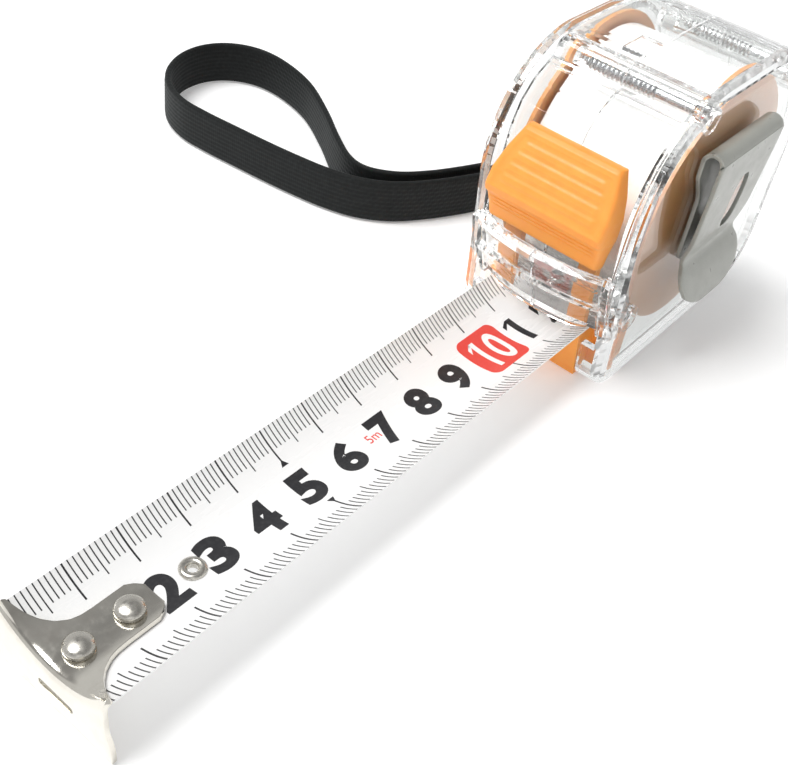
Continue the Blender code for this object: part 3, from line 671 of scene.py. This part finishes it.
def rounded_box(x, y, half_x, half_y, radius):
    """The corners of a box with round corners, nine points to each."""
    points = []
    for k in range(4):
        cx = x + (half_x - radius) * (1 if k in (0, 3) else -1)
        cy = y + (half_y - radius) * (1 if k in (0, 1) else -1)
        for step in range(9):
            angle = math.pi / 2 * (k + step / 8)
            points.append((cx + radius * math.cos(angle), cy + radius * math.sin(angle)))
    return points


# ---------------------------------------------------------------- end hook

HOOK_SHEET = 0.8
HOOK_FACE = BLADE_END - 0.7  # middle of the leg's sheet
HOOK_BEND = 1.0
HOOK_LEG_FOOT = 0.3
HOOK_GAP = 0.3  # between the blade and the plate on it
PLATE_HALF = 11.5
BEND_ROWS, LEG_ROWS = 6, 14
# Half width of the plate at a distance from the leg, and of the leg at a height.
PLATE_WIDTHS = [(0.0, 11.5), (1.2, 11.3), (2.2, 8.9), (3.4, 7.0), (4.9, 5.5), (6.6, 4.5), (8.2, 4.1), (10.0, 4.0),
                (15.9, 4.0), (17.2, 3.3), (18.3, 2.2)]
LEG_WIDTHS = [(0.0, 12.7), (2.6, 12.7), (4.2, 12.4), (6.4, 11.55), (9.0, 11.5)]


def blade_rise(y):
    """How far the curved blade has risen at y from its middle."""
    return BLADE_CURVE_R - math.sqrt(BLADE_CURVE_R ** 2 - y * y)


def end_hook(look):
    """A bent sheet: tongue and wings on the curved blade, a bend, and the leg in front of the blade's end."""
    columns = 48
    rows = []

    def top_height(y):
        return BLADE_Z + BLADE_THICK / 2 + HOOK_GAP + HOOK_SHEET / 2 + blade_rise(min(abs(y), PLATE_HALF + 0.1))

    reach = PLATE_WIDTHS[-1][0]
    out = [reach * (1 - k / 46) for k in range(47)]
    for distance in out:
        if distance < HOOK_BEND:
            break
        half = between(distance, PLATE_WIDTHS)
        ys = [half * (2 * k / columns - 1) for k in range(columns + 1)]
        rows.append([(HOOK_FACE + distance, y, top_height(y)) for y in ys])
    for k in range(1, BEND_ROWS + 1):
        angle = math.pi / 2 * k / BEND_ROWS
        ys = [PLATE_HALF * (2 * c / columns - 1) for c in range(columns + 1)]
        rows.append([(HOOK_FACE + HOOK_BEND * (1 - math.sin(angle)), y,
                      top_height(y) - HOOK_BEND * (1 - math.cos(angle))) for y in ys])
    for k in range(1, LEG_ROWS + 1):
        share = k / LEG_ROWS
        row = []
        for c in range(columns + 1):
            t = 2 * c / columns - 1
            start = top_height(PLATE_HALF * t) - HOOK_BEND
            z = start + (HOOK_LEG_FOOT - start) * share
            row.append((HOOK_FACE, t * between(z, LEG_WIDTHS), z))
        rows.append(row)
    hook = piece("hook_plate", grid(rows), look, "hook", ["end_hook"], 50.0)
    add_modifier(hook, "SOLIDIFY", thickness=HOOK_SHEET * MM, offset=0.0, use_even_offset=True)
    apply_modifiers(hook)
    slot = [(y, z) for y, z in rounded_box(-0.9, 4.15, 3.7, 0.72, 0.6)]
    cut_away(hook, grid([[(x, y, z) for y, z in slot] for x in (HOOK_FACE - 2, HOOK_FACE + 2)], True))
    add_modifier(hook, "BEVEL", width=0.16 * MM, segments=3, limit_method="ANGLE", angle_limit=math.radians(50))
    hook.data.shade_smooth()


RIVET_HEAD_R, RIVET_SHANK_R, RIVET_DOME = 2.35, 1.1, 1.05
EYELET_R, EYELET_ROLL, EYELET_TOP, EYELET_RISE = 1.55, 0.68, 8.32, 0.55


def rivet(number, x, look):
    """A domed rivet head with its shank and the turned-over end under the blade."""
    top = BLADE_Z + BLADE_THICK / 2 + HOOK_GAP + HOOK_SHEET + 0.15
    dome = [(RIVET_HEAD_R * math.cos(a), top + 0.6 + RIVET_DOME * math.sin(a))
            for a in [math.pi / 2 * k / 10 for k in range(11)]]
    profile = [(0.01, 6.9), (1.6, 6.9), (1.85, 7.15), (1.85, 7.4), (RIVET_SHANK_R, 7.5), (RIVET_SHANK_R, top),
               (2.15, top), (RIVET_HEAD_R, top + 0.2)]
    profile += dome[:-1] + [(0.01, dome[-1][1])]
    piece(f"rivet_{number}", grid(turned(x, profile, 48), True), look, "blade", [f"hook_rivet_{number}"],
          40.0)


def eyelet(look):
    """A hollow eyelet rolled over on both faces of the blade."""
    profile = []
    for k in range(13):
        angle = math.pi * k / 12
        profile.append((EYELET_R - EYELET_ROLL * math.cos(angle), EYELET_TOP + EYELET_RISE * math.sin(angle)))
    profile += [(1.9, 7.8), (1.85, 7.45), (1.2, 7.25), (0.87, 7.4)]
    around = 40
    bm = bmesh.new()
    made = [[bm.verts.new(p) for p in row] for row in turned(EYELET_X, profile, around)]
    for one, two in zip(made, made[1:] + made[:1]):
        for j in range(around):
            k = (j + 1) % around
            bm.faces.new((one[j], one[k], two[k], two[j]))
    piece("eyelet", bm, look, "blade", ["blade_eyelet"], 50.0)


# ---------------------------------------------------------------- thumb lock

# Down the button's face: along the slide from the wall's foot, out of the wall, half width.
LOCK_FACE = [(4.6, 2.4, 12.0), (4.9, 3.2, 12.1), (5.4, 3.6, 12.2), (7.0, 4.2, 12.3), (9.8, 5.6, 12.6),
             (10.7, 6.7, 12.8), (12.0, 7.2, 12.8), (15.0, 6.5, 12.7), (18.9, 4.9, 11.9), (23.0, 3.1, 10.5),
             (23.7, 2.2, 10.3), (23.8, 0.5, 10.1)]
LOCK_BACK, LOCK_EDGE = 0.45, 0.9
LOCK_COLUMNS, LOCK_LEVELS = 72, 140
PANEL_LOW, PANEL_HIGH, PANEL_MARGIN, PANEL_DEPTH = 12.4, 22.0, 1.5, 0.14
LOCK_RIBS = (20.4, 18.4, 16.3, 14.2)
RIB_HALF, RIB_RISE = 0.72, 0.2
SKIRT_LINES, LINE_DEPTH = (9.5, 8.7, 7.9), 0.16


def lock_point(along, out):
    """The x and z of a place along the lock's slide and out from the wall."""
    normal = Vector((-SLIDE.y, SLIDE.x))
    p = WALL_FOOT + SLIDE * along + normal * out
    return p.x, p.y


def lock_relief(along, y, half):
    """How far the face's panel, ribs and lines move it out of the plain face."""
    inside = 1 - smoothstep(abs(y), half - PANEL_MARGIN - 0.3, half - PANEL_MARGIN + 0.3)
    panel = smoothstep(along, PANEL_LOW - 0.3, PANEL_LOW + 0.3) * (1 - smoothstep(along, PANEL_HIGH - 0.3,
                                                                                  PANEL_HIGH + 0.3))
    relief = -PANEL_DEPTH * inside * panel
    rib_end = 1 - smoothstep(abs(y), half - PANEL_MARGIN - 1.7, half - PANEL_MARGIN - 0.9)
    for middle in LOCK_RIBS:
        relief += RIB_RISE * rib_end * (1 - smoothstep(abs(along - middle), RIB_HALF - 0.4, RIB_HALF + 0.3))
    line_end = 1 - smoothstep(abs(y), half - 1.6, half - 1.1)
    for middle in SKIRT_LINES:
        relief -= LINE_DEPTH * line_end * (1 - smoothstep(abs(along - middle), 0.08, 0.28))
    return relief


def thumb_lock(look):
    """The button's face, with its rounded edges, on a flat back."""
    low, high = LOCK_FACE[0][0], LOCK_FACE[-1][0]
    levels = [low + (high - low) * k / LOCK_LEVELS for k in range(LOCK_LEVELS + 1)]
    rows = []
    for along in levels:
        out = between(along, [(a, o) for a, o, _ in LOCK_FACE])
        half = between(along, [(a, h) for a, _, h in LOCK_FACE])
        back_x, back_z = lock_point(along, LOCK_BACK)
        row = [(back_x, -half, back_z)]
        for k in range(LOCK_COLUMNS + 1):
            t = 2 * k / LOCK_COLUMNS - 1
            y = half * math.copysign(abs(t) ** 0.8, t)
            past = max(0.0, abs(y) - (half - LOCK_EDGE))
            drop = LOCK_EDGE - math.sqrt(max(LOCK_EDGE * LOCK_EDGE - past * past, 0.0))
            face = out - drop * min(1.0, (out - LOCK_BACK) / 2.0) + lock_relief(along, y, half)
            x, z = lock_point(along, max(face, LOCK_BACK + 0.02))
            row.append((x, y, z))
        row.append((back_x, half, back_z))
        rows.append(row)
    piece("lock_button", grid(rows, closed=True), look, "lock", ["thumb_lock"], 40.0)


# ---------------------------------------------------------------- belt clip

# The sheet's middle line: y, z and half width, for the base from its foot up, and for the leaf down to its lip
CLIP_BASE = [(-17.1, 22.0, 5.4), (-17.1, 22.6, 6.8), (-17.1, 24.0, 8.2), (-17.1, 30.0, 8.2), (-17.1, 36.5, 8.2),
             (-17.1, 39.0, 9.4), (-17.1, 43.0, 12.0)]
CLIP_LEAF = [(-20.75, 43.0, 12.0), (-20.6, 40.0, 11.7), (-20.2, 33.0, 11.1), (-19.9, 29.4, 10.7),
             (-19.3, 26.4, 10.4), (-19.0, 24.8, 10.3), (-19.3, 23.6, 10.5), (-20.2, 21.8, 11.6), (-21.2, 19.6, 11.7),
             (-22.0, 17.4, 10.5), (-22.5, 15.8, 8.3), (-22.7, 14.8, 5.9), (-22.8, 14.3, 3.3)]


SLOT_X, SLOT_Z, SLOT_HALF_X, SLOT_HALF_Z = CLIP_X + 1.6, 34.6, 2.8, 6.2
CLIP_HOLE_R = 1.6


def clip_path():
    """The sheet's middle line from the lower end of the base, over the bend, to the lip."""
    bend = []
    for k in range(17):
        angle = math.pi * k / 16
        bend.append((CLIP_BEND_Y + CLIP_BEND_R * math.cos(angle), CLIP_BEND_Z + CLIP_BEND_R * math.sin(angle),
                     CLIP_HALF))
    return CLIP_BASE + bend + CLIP_LEAF


def belt_clip(look):
    """One bent sheet with its slot and screw hole, base and leaf in one piece that is attached to no body."""
    path = clip_path()
    finer = smooth_line([(y, z) for y, z, _ in path], 3)
    widths = [path[i // 3][2] + (path[min(i // 3 + 1, len(path) - 1)][2] - path[i // 3][2]) * (i % 3) / 3
              for i in range(len(finer))]
    columns = 20
    rows = [[(CLIP_X + half * (2 * c / columns - 1), p.x, p.y) for c in range(columns + 1)]
            for p, half in zip(finer, widths)]
    clip = piece("belt_clip", grid(rows), look, None, ["clip_base", "clip_leaf"], 60.0)
    add_modifier(clip, "SOLIDIFY", thickness=CLIP_SHEET * MM, offset=0.0, use_even_offset=True)
    apply_modifiers(clip)
    slot = [(SLOT_X + SLOT_HALF_X * math.copysign(abs(math.cos(a)) ** 0.8, math.cos(a)),
             SLOT_Z + SLOT_HALF_Z * math.sin(a)) for a in [math.pi * k / 20 for k in range(40)]]
    cut_away(clip, grid([[(x, y, z) for x, z in slot] for y in (-27.0, -18.5)], True))
    hole = [(CLIP_HOLE_R * math.cos(a), REEL_Z + CLIP_HOLE_R * math.sin(a))
            for a in [math.pi * k / 12 for k in range(24)]]
    cut_away(clip, grid([[(x, y, z) for x, z in hole] for y in (-19.0, -15.0)], True))
    add_modifier(clip, "BEVEL", width=0.14 * MM, segments=2, limit_method="ANGLE", angle_limit=math.radians(50))
    apply_modifiers(clip)
    clip.data.shade_smooth()
    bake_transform(clip)


# ---------------------------------------------------------------- screws

THREAD_PITCH, THREAD_ROOT, THREAD_CREST = 0.95, 0.92, 1.28
SCREW_HEAD_R = 1.8
CROSS_LONG, CROSS_SHORT = 1.15, 0.26  # half lengths of the two slots in the head
TIP_TAPER = 2.5


def screw(name, x, z, seat, look, replaced):
    """A pan-head self-tapping screw, with its head on the belt clip's side and a cross in the head."""
    head = seat + 0.3
    around = 28
    angles = [2 * math.pi * k / around for k in range(around)]
    profile = [(0.05, -head - 1.45), (0.9, -head - 1.42), (1.45, -head - 1.15), (1.75, -head - 0.7),
               (SCREW_HEAD_R, -head - 0.3), (SCREW_HEAD_R, -head), (THREAD_ROOT + 0.1, -head)]
    rows = [[(x + r * math.cos(a), y, z + r * math.sin(a)) for a in angles] for r, y in profile]
    start, end = -head + 1.5, SCREW_TIP
    count = int((end - start) / THREAD_PITCH * 8)
    for i in range(count + 1):
        y = start + (end - start) * i / count
        row = []
        for a in angles:
            phase = (y / THREAD_PITCH + a / (2 * math.pi)) % 1.0
            ridge = max(0.0, 1 - abs(phase - 0.5) * 3.2)
            taper = 1 - smoothstep(y, SCREW_TIP - TIP_TAPER, SCREW_TIP) * 0.85
            ridge *= smoothstep(y, THREAD_START - 0.6, THREAD_START + 0.6)
            r = (THREAD_ROOT + (THREAD_CREST - THREAD_ROOT) * ridge) * taper
            row.append((x + r * math.cos(a), y, z + r * math.sin(a)))
        rows.append(row)
    made = piece(name, grid(rows, True), look, "case", [replaced], 30.0)
    for a, b in ((CROSS_LONG, CROSS_SHORT), (CROSS_SHORT, CROSS_LONG)):
        cross = [(x - a, z - b), (x + a, z - b), (x + a, z + b), (x - a, z + b)]
        cut_away(made, grid([[(p, y, q) for p, q in cross] for y in (-head - 2.0, -head - 0.75)], True))


# ---------------------------------------------------------------- the whole object


def dress(nodes, look):
    """Give CAD meshes that are shown as they are their material."""
    for name in nodes:
        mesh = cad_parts[name].data
        mesh.materials.clear()
        mesh.materials.append(look)


def main():
    make_stage()
    clear, orange, tan = clear_plastic(), orange_plastic(), tan_plastic()
    enamel, black, red = white_enamel(), ink("black_ink", (0.02, 0.02, 0.023)), ink("red_ink", (0.78, 0.07, 0.055))
    plate, heads, steel, grey = nickel(), rivet_steel(), zinc(), clip_paint()

    wrist_strap(webbing())
    dress(["case_left", "case_right", "spindle"], clear)
    dress(["mouth_insert", "lock_slider"], orange)
    dress(["reel_hub", "reel_flange_left", "reel_flange_right"], tan)
    dress(["blade_coil"], enamel)
    dress(["power_spring"], spring_steel())
    dress(["strap_pin", "clip_screw"], steel)

    blade(enamel)
    blade_print(black, red, enamel)
    end_hook(plate)
    for number, x in enumerate(RIVET_XS, 1):
        rivet(number, x, heads)
    eyelet(heads)
    thumb_lock(orange)
    belt_clip(grey)
    for place, (x, z, seat) in CASE_SCREWS.items():
        screw(f"screw_{place}", x, z, seat, steel, f"case_screw_{place}")


main()
